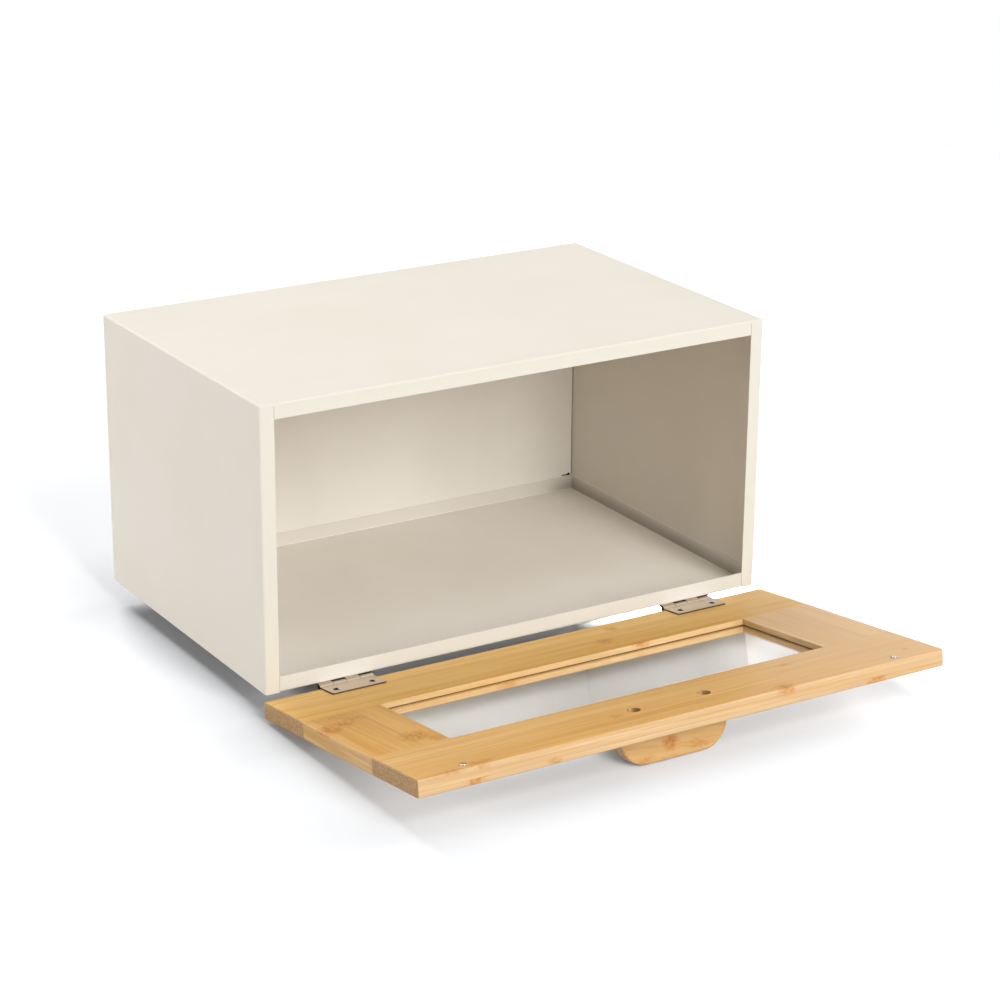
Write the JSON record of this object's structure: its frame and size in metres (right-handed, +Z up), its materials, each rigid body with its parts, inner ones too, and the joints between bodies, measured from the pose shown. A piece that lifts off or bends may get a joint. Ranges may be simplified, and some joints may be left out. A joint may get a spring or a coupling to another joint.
{
  "type": "bread box",
  "caption": "Sheet-steel bread box with a drop-front bamboo-framed glass door on bottom hinges, a tab handle and magnetic catches.",
  "frame": {"origin": "on the table, under the middle of the space taken by the box and its open door", "axes": "+Z up, +X to the right of someone facing the box, +Y from the door to the back"},
  "size_m": [0.408, 0.4566, 0.219],
  "materials": {
    "painted_steel": "satin cream powder coat",
    "rubber_foot": "matt black",
    "hinge_nickel": "satin nickel plate",
    "screw_steel": "nickel plated",
    "magnet_nickel": "bright nickel plate",
    "bamboo_board": "oiled laminated bamboo",
    "dowel_wood": "plain beech",
    "clear_glass": "clear"
  },
  "bodies": {
    "case": {"body_wrap": "painted_steel", "bottom_tray": "painted_steel", "back_panel": "painted_steel", "foot_front_left": "rubber_foot", "foot_front_right": "rubber_foot", "foot_rear_left": "rubber_foot", "foot_rear_right": "rubber_foot", "case_leaf_left": "hinge_nickel", "case_leaf_right": "hinge_nickel", "hinge_pin_left": "hinge_nickel", "hinge_pin_right": "hinge_nickel", "case_leaf_rivets": "screw_steel"},
    "door": {"door_hinge_rail": "bamboo_board", "door_handle_rail": "bamboo_board", "door_stile_left": "bamboo_board", "door_stile_right": "bamboo_board", "door_dowels": "dowel_wood", "window_glass": "clear_glass", "door_leaf_left": "hinge_nickel", "door_leaf_right": "hinge_nickel", "door_leaf_screws": "screw_steel", "door_magnet_left": "magnet_nickel", "door_magnet_right": "magnet_nickel", "handle_tab": "bamboo_board", "handle_screws": "screw_steel"}
  },
  "joints": [
    {"name": "door_hinge", "type": "hinge", "parent": "case", "child": "door", "pos_m": [0, -0.01894, 0.0142], "axis": [-1, 0, 0], "range_deg": [0, 82.62]}
  ]
}
